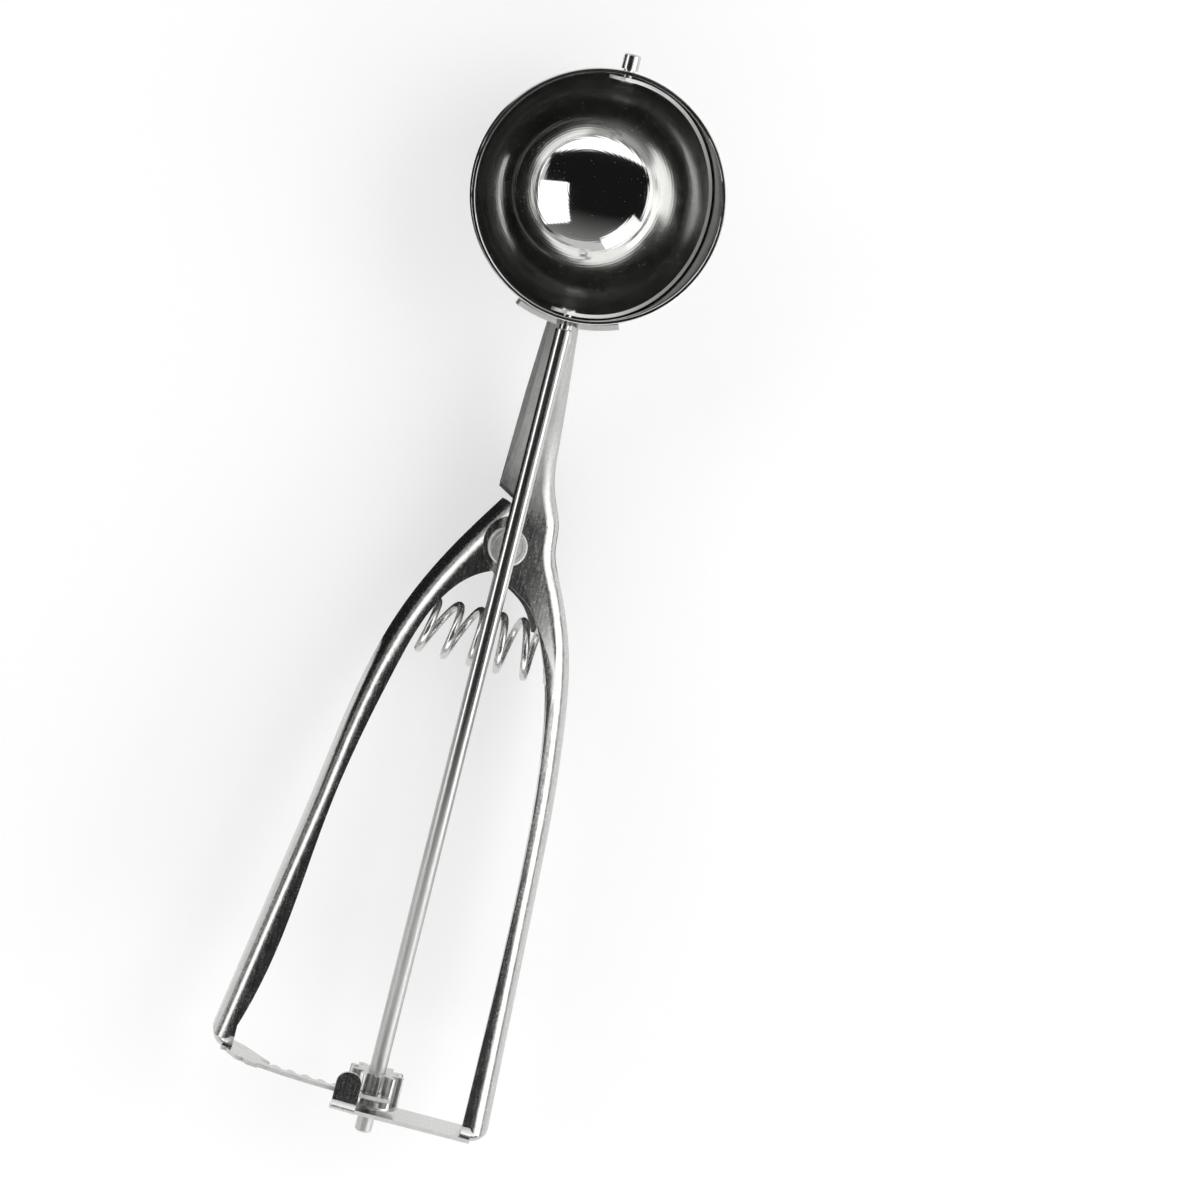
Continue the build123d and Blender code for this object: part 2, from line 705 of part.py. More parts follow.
# Pinion: involute teeth on a boss, with a flange at the foot end
pinion_top = -PIVOT_DISTANCE + pinion_middle + PINION_LENGTH / 2
base_radius = PITCH_RADIUS * cos(radians(PRESSURE_ANGLE))
tip_radius = PITCH_RADIUS + PINION_ADDENDUM
root_radius = PITCH_RADIUS - RACK_ADDENDUM - TOOTH_CLEARANCE


def tooth_point(radius, side):
    """Point of an involute flank at a radius, on one side of the tooth."""
    slope = tan(radians(PRESSURE_ANGLE)) - radians(PRESSURE_ANGLE)
    local = acos(min(1, base_radius / radius))
    half_angle = (PITCH / 2 - BACKLASH / 2) / 2 / PITCH_RADIUS + slope - (tan(local) - local)
    return (radius * cos(half_angle), side * radius * sin(half_angle))


with BuildSketch(Plane.XY) as tooth:
    with BuildLine():
        middle = (base_radius + tip_radius) / 2
        left = ThreePointArc(*(tooth_point(r, -1) for r in (base_radius, middle, tip_radius)))
        right = ThreePointArc(*(tooth_point(r, 1) for r in (base_radius, middle, tip_radius)))
        ThreePointArc(left @ 1, (tip_radius, 0), right @ 1)
        low = (left @ 0) * ((root_radius - TOOTH_ROOT_LAP) / base_radius)
        high = (right @ 0) * ((root_radius - TOOTH_ROOT_LAP) / base_radius)
        Polyline(left @ 0, low, high, right @ 0)
    make_face()

with BuildPart() as pinion:
    with BuildSketch(shaft_plane(pinion_top)):
        Circle(root_radius)
        with PolarLocations(0, PINION_TEETH):
            add(tooth.sketch)
    extrude(amount=-PINION_LENGTH)
    with BuildSketch(shaft_plane(pinion_top - PINION_LENGTH)):
        Circle(tip_radius)
    extrude(amount=PINION_FLANGE)
    with BuildSketch(shaft_plane(pinion_top)):
        Circle(SHAFT_RADIUS)
    extrude(amount=-REACH, mode=Mode.SUBTRACT)

# Return spring: open turns with closed ends that lie along the two webs
spring_left, left_slope = web_at(moving_inner_web, -SPRING_LEFT_DROP)
spring_right, right_slope = web_at(fixed_inner_web, -SPRING_RIGHT_DROP)
left_lean = atan2(-left_slope, 1)
right_lean = atan2(right_slope, 1)
spring_from = spring_left + (SPRING_WIRE / 2 + SPRING_SEAT) / cos(left_lean)
spring_to = spring_right - (SPRING_WIRE / 2 + SPRING_SEAT) / cos(right_lean)
open_pitch = (spring_to - spring_from - 2 * SPRING_END_PITCH) / (SPRING_TURNS - 2)


def spring_point(turn):
    """Middle of the wire after a number of turns from the moving handle."""
    x = spring_from
    for place in range(SPRING_TURNS):
        part = max(0.0, min(1.0, turn - place))
        ends = place in (0, SPRING_TURNS - 1)
        x += part * (SPRING_END_PITCH if ends else open_pitch)
    share = turn / SPRING_TURNS
    lean_here = left_lean * (1 - share) - right_lean * share + radians(SPRING_LEAN) * sin(pi * share)
    drop = SPRING_LEFT_DROP * (1 - share) + SPRING_RIGHT_DROP * share
    angle = 2 * pi * (turn + SPRING_START)
    from_end = min(1.0, turn, SPRING_TURNS - turn)
    radius = SPRING_END_RADIUS + (SPRING_RADIUS - SPRING_END_RADIUS) * sin(pi / 2 * from_end)
    up = radius * cos(angle)
    place = Vector(x + up * sin(lean_here), up * cos(lean_here) - drop, radius * sin(angle))
    return GRIP.from_local_coords(place)


def spring_way(turn):
    """Direction of the wire at one place."""
    return (spring_point(turn + 0.01) - spring_point(turn - 0.01)).normalized()


with BuildPart() as return_spring:
    with BuildLine() as wire:
        for quarter in range(4 * SPRING_TURNS):
            start, end = spring_point(quarter / 4), spring_point((quarter + 1) / 4)
            leave, arrive = spring_way(quarter / 4), spring_way((quarter + 1) / 4)
            chord, both = end - start, leave + arrive
            bend = 2 * (1 - leave.dot(arrive))
            reach = (sqrt(chord.dot(both) ** 2 + bend * chord.dot(chord)) - chord.dot(both)) / bend
            first, second = start + leave * reach, end - arrive * reach
            joint = (first + second) * 0.5
            TangentArc(start, joint, tangent=leave)
            TangentArc(joint, end, tangent=second - first)
    with BuildSketch(Plane(origin=wire.wire() @ 0, z_dir=wire.wire() % 0)):
        Circle(SPRING_WIRE / 2)
    sweep(path=wire.wire())

steps = SPRING_SAMPLES * SPRING_TURNS + 1
samples = [spring_point(step / SPRING_SAMPLES) for step in range(steps)]
least = min(
    (samples[i] - samples[j]).length - SPRING_WIRE
    for i in range(0, len(samples), 2)
    for j in range(i + SPRING_SAMPLES // 2, len(samples))
)
print("least gap between spring turns", round(least, 2))
print("squeeze degrees", round(SQUEEZE_ANGLE, 3), "grip tilt degrees", round(degrees(TILT), 3))

for name, piece in (
    ("bowl", bowl),
    ("fixed_handle", fixed_handle),
    ("moving_handle", moving_handle),
    ("pivot_rivet", pivot_rivet),
    ("shaft", shaft),
    ("top_pin", top_pin),
    ("scraper_blade", scraper_blade),
    ("pinion", pinion),
    ("return_spring", return_spring),
):
    piece.part.label = name
    export_step(piece.part, f"parts/{name}.step")
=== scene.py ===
import json
from math import cos, pi, radians, sin

import bmesh
import bpy
from mathutils import Euler, Matrix, Vector


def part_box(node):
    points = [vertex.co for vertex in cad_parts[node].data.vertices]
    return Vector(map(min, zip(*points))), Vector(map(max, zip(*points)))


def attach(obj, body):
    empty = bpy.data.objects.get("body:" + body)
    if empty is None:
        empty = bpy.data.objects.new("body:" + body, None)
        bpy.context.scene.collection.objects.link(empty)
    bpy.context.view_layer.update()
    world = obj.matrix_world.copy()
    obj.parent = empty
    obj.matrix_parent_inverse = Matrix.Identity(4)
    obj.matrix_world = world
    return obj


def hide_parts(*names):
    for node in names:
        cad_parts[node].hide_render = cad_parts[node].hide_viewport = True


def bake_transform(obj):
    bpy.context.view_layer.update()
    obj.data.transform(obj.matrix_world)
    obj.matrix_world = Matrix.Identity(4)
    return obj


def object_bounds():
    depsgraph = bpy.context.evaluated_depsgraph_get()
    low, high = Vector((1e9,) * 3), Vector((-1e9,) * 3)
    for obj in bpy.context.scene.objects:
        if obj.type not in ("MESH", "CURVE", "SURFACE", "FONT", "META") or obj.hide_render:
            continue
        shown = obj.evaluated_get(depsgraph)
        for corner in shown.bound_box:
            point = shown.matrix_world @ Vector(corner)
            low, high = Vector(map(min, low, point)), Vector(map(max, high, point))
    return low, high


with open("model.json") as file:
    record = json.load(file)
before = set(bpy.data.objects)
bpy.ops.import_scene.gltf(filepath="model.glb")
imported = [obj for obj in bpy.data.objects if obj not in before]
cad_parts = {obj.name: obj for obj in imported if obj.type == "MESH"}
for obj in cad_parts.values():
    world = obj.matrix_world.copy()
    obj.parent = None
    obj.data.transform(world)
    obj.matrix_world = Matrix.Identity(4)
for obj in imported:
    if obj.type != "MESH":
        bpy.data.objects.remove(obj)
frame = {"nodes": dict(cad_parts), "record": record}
cad_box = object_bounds()
MM = 0.001

# Bowl: a half sphere with a short straight collar, drawn from stainless sheet in one press stroke,
# then spun against a polishing mop. The wings of the neck carry it and two tenons pass its wall.
BOWL_WALL = 0.8 * MM
BOWL_RIM_ROUND = 0.2 * MM
BOWL_TURNS = 192
BOWL_STEPS = 48
JOIN_WITHIN = 0.001 * MM
SHARP_EDGE = radians(30)
bowl_low, bowl_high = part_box("bowl")
bowl_outside = bowl_high.x
bowl_inside = bowl_outside - BOWL_WALL
shaft_axis = Vector((0, 0, bowl_low.z + bowl_outside))


def linear(code):
    """Linear colour of an sRGB hex code."""
    shares = [int(code[place : place + 2], 16) / 255 for place in (1, 3, 5)]
    lit = [
        share / 12.92 if share <= 0.04045 else ((share + 0.055) / 1.055) ** 2.4
        for share in shares
    ]
    return lit + [1.0]


def add_node(material, kind, values=None, links=None, **settings):
    """Adds a node with its settings, socket values and incoming links."""
    tree = material.node_tree
    node = tree.nodes.new(kind)
    for name, value in settings.items():
        setattr(node, name, value)
    for socket, value in (values or {}).items():
        node.inputs[socket].default_value = value
    for socket, source in (links or {}).items():
        tree.links.new(source, node.inputs[socket])
    return node


def new_metal(name):
    """Empty material with an output and a fully metallic shader."""
    material = bpy.data.materials.new(name)
    material.use_nodes = True
    material.node_tree.nodes.clear()
    shader = add_node(material, "ShaderNodeBsdfPrincipled", {"Metallic": 1.0})
    add_node(material, "ShaderNodeOutputMaterial", links={"Surface": shader.outputs["BSDF"]})
    place = add_node(material, "ShaderNodeTexCoord").outputs["Object"]
    return material, shader, place


def fit_piece(shape, name, node, body, material):
    """Makes a finished mesh the piece that stands for a CAD node."""
    for face in shape.faces:
        face.smooth = True
    for edge in shape.edges:
        edge.smooth = edge.calc_face_angle(0) < SHARP_EDGE
    mesh = bpy.data.meshes.new(name)
    shape.to_mesh(mesh)
    shape.free()
    mesh.materials.append(material)
    piece = bpy.data.objects.new(name, mesh)
    bpy.context.scene.collection.objects.link(piece)
    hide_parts(node)
    if body:
        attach(piece, body)
    return piece


# Mirror-polished stainless steel, buffed while it turned: clear reflections that the mop's fine
# rings and a few pin marks break up a little, and a softer gloss towards the rim. The rings are
# drawn 0.5 mm apart to show at all.
POLISH_RING = 0.5 * MM
PIN_MARK_GAP = 0.9 * MM
HAZE_PATCH = 6 * MM
MOP_LOW = -26 * MM
MOP_HIGH = -14 * MM
mirror_steel, shader, place = new_metal("mirror_polished_stainless_steel")
rings = add_node(
    mirror_steel,
    "ShaderNodeTexWave",
    {"Scale": pi / 10 / POLISH_RING, "Distortion": 1.5, "Detail": 3.0, "Detail Scale": 2.0},
    {"Vector": place},
    wave_type="RINGS",
    rings_direction="Z",
)
haze = add_node(
    mirror_steel,
    "ShaderNodeTexNoise",
    {"Scale": 1 / HAZE_PATCH, "Detail": 6.0, "Roughness": 0.65},
    {"Vector": place},
)
marks = add_node(
    mirror_steel,
    "ShaderNodeTexVoronoi",
    {"Scale": 1 / PIN_MARK_GAP, "Randomness": 1.0},
    {"Vector": place},
)
mark_rough = add_node(
    mirror_steel,
    "ShaderNodeMapRange",
    {"From Min": 0.04, "From Max": 0.1, "To Min": 0.5, "To Max": 0.0},
    {"Value": marks.outputs["Distance"]},
)
haze_rough = add_node(
    mirror_steel,
    "ShaderNodeMapRange",
    {"From Min": 0.3, "From Max": 0.7, "To Min": -0.02, "To Max": 0.05},
    {"Value": haze.outputs["Fac"]},
)
height = add_node(mirror_steel, "ShaderNodeSeparateXYZ", links={"Vector": place}).outputs["Z"]
mop_reach = add_node(
    mirror_steel,
    "ShaderNodeMapRange",
    {"From Min": MOP_LOW, "From Max": MOP_HIGH, "To Min": 0.045, "To Max": 0.17},
    {"Value": height},
    interpolation_type="SMOOTHSTEP",
)
buffed = add_node(
    mirror_steel,
    "ShaderNodeMath",
    links={0: haze_rough.outputs["Result"], 1: mop_reach.outputs["Result"]},
    operation="ADD",
)
rough = add_node(
    mirror_steel,
    "ShaderNodeMath",
    links={0: buffed.outputs["Value"], 1: mark_rough.outputs["Result"]},
    operation="MAXIMUM",
)
shade = add_node(mirror_steel, "ShaderNodeValToRGB", links={"Fac": haze.outputs["Fac"]})
shade.color_ramp.elements[0].color = linear("#c8c8c6")
shade.color_ramp.elements[1].color = linear("#d8d8d6")
ring_bump = add_node(
    mirror_steel,
    "ShaderNodeBump",
    {"Strength": 0.08, "Distance": 0.02 * MM},
    {"Height": rings.outputs["Fac"]},
)
mirror_steel.node_tree.links.new(shade.outputs["Color"], shader.inputs["Base Color"])
mirror_steel.node_tree.links.new(rough.outputs["Value"], shader.inputs["Roughness"])
mirror_steel.node_tree.links.new(ring_bump.outputs["Normal"], shader.inputs["Normal"])

shape = bmesh.new()
deep = shape.verts.new(shaft_axis - Vector((0, 0, bowl_outside)))
low = shape.verts.new(shaft_axis - Vector((0, 0, bowl_inside)))
for start in (deep, low):
    turned = bmesh.ops.spin(
        shape, geom=[start], cent=shaft_axis, axis=(0, -1, 0), angle=pi / 2, steps=BOWL_STEPS
    )
    end = [item for item in turned["geom_last"] if isinstance(item, bmesh.types.BMVert)][0]
    raised = bmesh.ops.extrude_vert_indiv(shape, verts=[end])["verts"][0]
    raised.co.z = 0
tops = [vert for vert in shape.verts if abs(vert.co.z) < JOIN_WITHIN]
shape.edges.new(tops)
bmesh.ops.bevel(
    shape, geom=tops, offset=BOWL_RIM_ROUND, affect="VERTICES", segments=3, profile=0.5, material=-1
)
bmesh.ops.spin(
    shape,
    geom=shape.verts[:] + shape.edges[:],
    cent=(0, 0, 0),
    axis=(0, 0, 1),
    angle=2 * pi,
    steps=BOWL_TURNS,
    use_merge=True,
)
bmesh.ops.remove_doubles(shape, verts=shape.verts, dist=JOIN_WITHIN)
bmesh.ops.recalc_face_normals(shape, faces=shape.faces)
fit_piece(shape, "drawn_bowl", "bowl", "frame", mirror_steel)

# Scraper blade: a spring-steel band cut from sheet and pressed to the curve of the bowl. It is
# riveted over the two tenons and runs just clear of the bowl wall.
BLADE_CLEARANCE = 0.3 * MM
BLADE_SHEET = 0.7 * MM
BLADE_EDGE = 0.15 * MM
BLADE_WIDTH = 8.4 * MM
BLADE_TAB = 2.8 * MM
BLADE_TAB_OFFSET = 0.8 * MM
BLADE_FLARE = 7.0 * MM
BLADE_REST = radians(25)
BLADE_TURNS = 256
BLADE_RINGS = 160
TAB_STEP = 20
EDGE_FACING = 0.5

# Sheared stainless edge: a pale matt band with the torn grain of the cut, drawn 0.3 mm wide.
TORN_GRAIN = 0.3 * MM
sheared_steel, shader, place = new_metal("sheared_stainless_edge")
tears = add_node(
    sheared_steel,
    "ShaderNodeTexNoise",
    {"Scale": 1 / (2 * TORN_GRAIN), "Detail": 4.0, "Roughness": 0.6},
    {"Vector": place},
)
tear_rough = add_node(
    sheared_steel,
    "ShaderNodeMapRange",
    {"From Min": 0.3, "From Max": 0.7, "To Min": 0.5, "To Max": 0.65},
    {"Value": tears.outputs["Fac"]},
)
shade = add_node(sheared_steel, "ShaderNodeValToRGB", links={"Fac": tears.outputs["Fac"]})
shade.color_ramp.elements[0].color = linear("#d4d4d2")
shade.color_ramp.elements[1].color = linear("#eeeeec")
sheared_steel.node_tree.links.new(shade.outputs["Color"], shader.inputs["Base Color"])
sheared_steel.node_tree.links.new(tear_rough.outputs["Result"], shader.inputs["Roughness"])

blade_out = Vector((cos(BLADE_REST), 0, -sin(BLADE_REST)))
blade_up = Vector((sin(BLADE_REST), 0, cos(BLADE_REST)))
shape = bmesh.new()
bmesh.ops.create_uvsphere(
    shape,
    u_segments=BLADE_TURNS,
    v_segments=BLADE_RINGS,
    radius=bowl_inside - BLADE_CLEARANCE,
    matrix=Matrix.Translation(shaft_axis) @ Matrix.Rotation(pi / 2, 4, "X"),
)
tab_middle = shaft_axis - blade_out * BLADE_TAB_OFFSET
taper = (BLADE_WIDTH / 2 - BLADE_TAB) / (BLADE_FLARE + BLADE_TAB_OFFSET)
cuts = []
for side in (1, -1):
    cuts.append((shaft_axis + blade_up * side * BLADE_WIDTH / 2, blade_up * side))
    cuts.append((tab_middle + blade_up * side * BLADE_TAB, blade_up * side - blade_out * taper))
for angle in range(-4 * TAB_STEP, 5 * TAB_STEP, TAB_STEP):
    way = Matrix.Rotation(radians(angle), 3, "Y") @ -blade_out
    cuts.append((tab_middle + way * BLADE_TAB, way))
for point, away in cuts:
    bmesh.ops.bisect_plane(
        shape,
        geom=shape.verts[:] + shape.edges[:] + shape.faces[:],
        plane_co=point,
        plane_no=away,
        clear_outer=True,
    )
bmesh.ops.recalc_face_normals(shape, faces=shape.faces)
if shape.faces[0].normal.dot(shape.faces[0].calc_center_median() - shaft_axis) < 0:
    bmesh.ops.reverse_faces(shape, faces=shape.faces)
bmesh.ops.solidify(shape, geom=shape.faces[:], thickness=BLADE_SHEET)
for face in shape.faces:
    outwards = (face.calc_center_median() - shaft_axis).normalized()
    face.material_index = int(abs(face.normal.dot(outwards)) < EDGE_FACING)
blade = fit_piece(shape, "scraper_band", "scraper_blade", "scraper", mirror_steel)
blade.data.materials.append(sheared_steel)
edge_round = blade.modifiers.new("edge_round", "BEVEL")
edge_round.width = BLADE_EDGE
edge_round.segments = 2
edge_round.limit_method = "ANGLE"
edge_round.angle_limit = radians(60)
edge_round.harden_normals = True

# Shaft: drawn stainless rod that turns in the foot and in the bowl wall. Its end is turned down
# to a tenon, passed through the bowl and the blade, and peened over inside.
ROD_TURNS = 64
TENON = 1.1 * MM
SHOULDER_GAP = 1.8 * MM
PEEN_HEIGHT = 0.6 * MM
ROD = 1.7 * MM
ROD_CHAMFER = 0.3 * MM

# Drawn steel rod, bright from the die: a narrow clear gloss with hair lines along its length.
# Handling has dulled the half between the grips.
HAIR_LINE = 0.12 * MM
LINE_STRETCH = 0.015
WORN_LOW = -150 * MM
WORN_HIGH = -90 * MM
drawn_steel, shader, place = new_metal("bright_drawn_stainless_steel")
along = add_node(
    drawn_steel, "ShaderNodeMapping", {"Scale": (1.0, LINE_STRETCH, 1.0)}, {"Vector": place}
)
lines = add_node(
    drawn_steel,
    "ShaderNodeTexNoise",
    {"Scale": 1 / (2 * HAIR_LINE), "Detail": 4.0, "Roughness": 0.6},
    {"Vector": along.outputs["Vector"]},
)
line_rough = add_node(
    drawn_steel,
    "ShaderNodeMapRange",
    {"From Min": 0.3, "From Max": 0.7, "To Min": 0.18, "To Max": 0.26},
    {"Value": lines.outputs["Fac"]},
)
length = add_node(drawn_steel, "ShaderNodeSeparateXYZ", links={"Vector": place}).outputs["Y"]
handling = add_node(
    drawn_steel,
    "ShaderNodeMapRange",
    {"From Min": WORN_LOW, "From Max": WORN_HIGH, "To Min": 0.32, "To Max": 0.0},
    {"Value": length},
    interpolation_type="SMOOTHSTEP",
)
worn = add_node(
    drawn_steel,
    "ShaderNodeMath",
    links={0: line_rough.outputs["Result"], 1: handling.outputs["Result"]},
    operation="ADD",
)
shade = add_node(drawn_steel, "ShaderNodeValToRGB", links={"Fac": lines.outputs["Fac"]})
shade.color_ramp.elements[0].position = 0.3
shade.color_ramp.elements[0].color = linear("#c4c4c2")
shade.color_ramp.elements[1].position = 0.7
shade.color_ramp.elements[1].color = linear("#dcdcda")
line_bump = add_node(
    drawn_steel,
    "ShaderNodeBump",
    {"Strength": 0.04, "Distance": 0.01 * MM},
    {"Height": lines.outputs["Fac"]},
)
drawn_steel.node_tree.links.new(shade.outputs["Color"], shader.inputs["Base Color"])
drawn_steel.node_tree.links.new(worn.outputs["Value"], shader.inputs["Roughness"])
drawn_steel.node_tree.links.new(line_bump.outputs["Normal"], shader.inputs["Normal"])


def turned_piece(stations, centre, axis):
    """Solid of revolution through (radius, distance along the axis) stations."""
    shape = bmesh.new()
    across = axis.orthogonal().normalized()
    chain = [shape.verts.new(centre + across * radius + axis * along) for radius, along in stations]
    for first, second in zip(chain, chain[1:]):
        shape.edges.new((first, second))
    bmesh.ops.spin(
        shape,
        geom=shape.verts[:] + shape.edges[:],
        cent=centre,
        axis=axis,
        angle=2 * pi,
        steps=ROD_TURNS,
        use_merge=True,
    )
    bmesh.ops.remove_doubles(shape, verts=shape.verts, dist=JOIN_WITHIN)
    bmesh.ops.recalc_face_normals(shape, faces=shape.faces)
    return shape


shaft_low, shaft_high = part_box("shaft")
peen = shaft_high.x


def peened_end(tip, way):
    """Stations of a tenon's end that is hammered over to a low dome."""
    dome = [(TENON, 1), (peen, 1), (peen, 0.7), (0.8 * peen, 0.2), (0.4 * peen, 0), (0, 0)]
    return [(radius, tip - way * depth * PEEN_HEIGHT) for radius, depth in dome]


shoulder = -bowl_outside - SHOULDER_GAP
shape = turned_piece(
    [
        (0, shaft_low.y),
        (ROD - ROD_CHAMFER, shaft_low.y),
        (ROD, shaft_low.y + ROD_CHAMFER),
        (ROD, shoulder - ROD_CHAMFER / 2),
        (ROD - ROD_CHAMFER / 2, shoulder),
        (TENON, shoulder),
        *peened_end(shaft_high.y, 1),
    ],
    shaft_axis,
    Vector((0, 1, 0)),
)
fit_piece(shape, "drawn_shaft", "shaft", "scraper", drawn_steel)

# Top pin: a short end of the same rod on the far side of the bowl, which carries the blade's
# other tab. Its tenon passes the bowl wall and is peened over the blade.
pin_low, pin_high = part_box("top_pin")
PIN_GAP = 0.3 * MM
shape = turned_piece(
    [
        (0, pin_high.y),
        (ROD - ROD_CHAMFER, pin_high.y),
        (ROD, pin_high.y - ROD_CHAMFER),
        (ROD, bowl_outside + PIN_GAP),
        (TENON, bowl_outside + PIN_GAP),
        *peened_end(pin_low.y, -1),
    ],
    shaft_axis,
    Vector((0, 1, 0)),
)
fit_piece(shape, "drawn_top_pin", "top_pin", "scraper", drawn_steel)

# Fixed handle: one stamping of stainless sheet folded to a channel, with the wings, neck, ears,
# grip and foot. Its cut edges were broken in the tumbler and stay matt.
EDGE_BREAK = 0.22 * MM

# Satin stainless sheet, belt-ground along the handles: a soft wide gloss, with grain lines along
# the length and faint dark tumbling marks. The grain is drawn 0.2 mm wide to show. The heat of
# welding to the bowl left the wings and the neck duller.
GRAIN = 0.2 * MM
GRAIN_STRETCH = 0.06
TUMBLE_MARK = 0.3 * MM
DULL_FROM = -66 * MM
DULL_TO = -46 * MM
satin_steel, shader, place = new_metal("satin_ground_stainless_sheet")
along = add_node(
    satin_steel, "ShaderNodeMapping", {"Scale": (1.0, GRAIN_STRETCH, 1.0)}, {"Vector": place}
)
grain = add_node(
    satin_steel,
    "ShaderNodeTexNoise",
    {"Scale": 1 / (2 * GRAIN), "Detail": 5.0, "Roughness": 0.6},
    {"Vector": along.outputs["Vector"]},
)
tumble = add_node(
    satin_steel,
    "ShaderNodeTexNoise",
    {"Scale": 1 / (2 * TUMBLE_MARK), "Detail": 8.0, "Roughness": 0.7},
    {"Vector": place},
)
both = add_node(
    satin_steel,
    "ShaderNodeMath",
    links={0: grain.outputs["Fac"], 1: tumble.outputs["Fac"]},
    operation="MULTIPLY",
)
sheet_rough = add_node(
    satin_steel,
    "ShaderNodeMapRange",
    {"From Min": 0.15, "From Max": 0.4, "To Min": 0.2, "To Max": 0.3},
    {"Value": both.outputs["Value"]},
)
length = add_node(satin_steel, "ShaderNodeSeparateXYZ", links={"Vector": place}).outputs["Y"]
weld_heat = add_node(
    satin_steel,
    "ShaderNodeMapRange",
    {"From Min": DULL_FROM, "From Max": DULL_TO, "To Min": 0.0, "To Max": 0.5},
    {"Value": length},
)
dulled = add_node(
    satin_steel,
    "ShaderNodeMath",
    links={0: sheet_rough.outputs["Result"], 1: weld_heat.outputs["Result"]},
    operation="ADD",
)
shade = add_node(satin_steel, "ShaderNodeValToRGB", links={"Fac": both.outputs["Value"]})
shade.color_ramp.elements[0].position = 0.15
shade.color_ramp.elements[0].color = linear("#bcbcba")
shade.color_ramp.elements[1].position = 0.38
shade.color_ramp.elements[1].color = linear("#d6d6d4")
grain_bump = add_node(
    satin_steel,
    "ShaderNodeBump",
    {"Strength": 0.1, "Distance": 0.02 * MM},
    {"Height": both.outputs["Value"]},
)
satin_steel.node_tree.links.new(shade.outputs["Color"], shader.inputs["Base Color"])
satin_steel.node_tree.links.new(dulled.outputs["Value"], shader.inputs["Roughness"])
satin_steel.node_tree.links.new(grain_bump.outputs["Normal"], shader.inputs["Normal"])

# Wings, foot and rack strip show their cut edges to the front, which are no wider than this.
CUT_WIDTH = 1.2 * MM
TO_FRONT = 0.9
FOOT_FROM = -178 * MM
WINGS_FROM = -30 * MM


def pressed_piece(node, name, body, material, edge_material, edge_break):
    """Copy of a CAD node with its triangles joined, its cut edges marked and its corners broken."""
    shape = bmesh.new()
    shape.from_mesh(frame["nodes"][node].data)
    bmesh.ops.remove_doubles(shape, verts=shape.verts, dist=JOIN_WITHIN)
    bmesh.ops.dissolve_limit(
        shape, angle_limit=radians(0.2), verts=shape.verts[:], edges=shape.edges[:]
    )
    for face in shape.faces:
        narrow = 2 * face.calc_area() / face.calc_perimeter() < CUT_WIDTH
        at_end = not FOOT_FROM < face.calc_center_median().y < WINGS_FROM
        face.material_index = int(face.normal.z > TO_FRONT and narrow and at_end)
    piece = fit_piece(shape, name, node, body, material)
    piece.data.materials.append(edge_material)
    bevel = piece.modifiers.new("edge_break", "BEVEL")
    bevel.material = 1
    bevel.width = edge_break
    bevel.segments = 3
    bevel.limit_method = "ANGLE"
    bevel.angle_limit = radians(40)
    bevel.harden_normals = True
    return piece


pressed_piece(
    "fixed_handle",
    "pressed_fixed_handle",
    "frame",
    satin_steel,
    sheared_steel,
    EDGE_BREAK,
)

# Moving handle: a second channel pressed from the same sheet, which turns on the rivet inside
# the fixed handle's ears. Its toe is bent into the strip with the rack's teeth.
pressed_piece(
    "moving_handle",
    "pressed_moving_handle",
    "lever",
    satin_steel,
    sheared_steel,
    EDGE_BREAK,
)

# Pivot rivet: a solid steel rivet through all four ears, with a slightly dished factory head in
# front and a tail closed in the press behind.
RIVET = 2.2 * MM
RIVET_HEAD = 3.95 * MM
RIVET_TAIL = 3.5 * MM
RIVET_HEAD_HEIGHT = 1.0 * MM
RIVET_CHAMFER = 0.35 * MM
DISH_DEPTH = 0.14 * MM
DISH_FLOOR = 0.7 * RIVET_HEAD
DISH_RIM = 0.76 * RIVET_HEAD
EAR_DEPTH = 16.0 * MM
squeeze = frame["record"]["behaviour"]["joints"][0]
pivot = Vector(squeeze["pos_m"])
rivet_axis = Vector(squeeze["axis"]).normalized()

# Tumbled rivet steel: evenly matt from the barrel, so it looks lighter than the sheet round it.
BARREL_DENT = 0.35 * MM
tumbled_steel, shader, place = new_metal("tumbled_rivet_steel")
dents = add_node(
    tumbled_steel,
    "ShaderNodeTexNoise",
    {"Scale": 1 / (2 * BARREL_DENT), "Detail": 5.0, "Roughness": 0.65},
    {"Vector": place},
)
dent_rough = add_node(
    tumbled_steel,
    "ShaderNodeMapRange",
    {"From Min": 0.3, "From Max": 0.7, "To Min": 0.48, "To Max": 0.6},
    {"Value": dents.outputs["Fac"]},
)
shade = add_node(tumbled_steel, "ShaderNodeValToRGB", links={"Fac": dents.outputs["Fac"]})
shade.color_ramp.elements[0].position = 0.3
shade.color_ramp.elements[0].color = linear("#d2d2d0")
shade.color_ramp.elements[1].position = 0.7
shade.color_ramp.elements[1].color = linear("#ececea")
dent_bump = add_node(
    tumbled_steel,
    "ShaderNodeBump",
    {"Strength": 0.15, "Distance": 0.02 * MM},
    {"Height": dents.outputs["Fac"]},
)
tumbled_steel.node_tree.links.new(shade.outputs["Color"], shader.inputs["Base Color"])
tumbled_steel.node_tree.links.new(dent_rough.outputs["Result"], shader.inputs["Roughness"])
tumbled_steel.node_tree.links.new(dent_bump.outputs["Normal"], shader.inputs["Normal"])

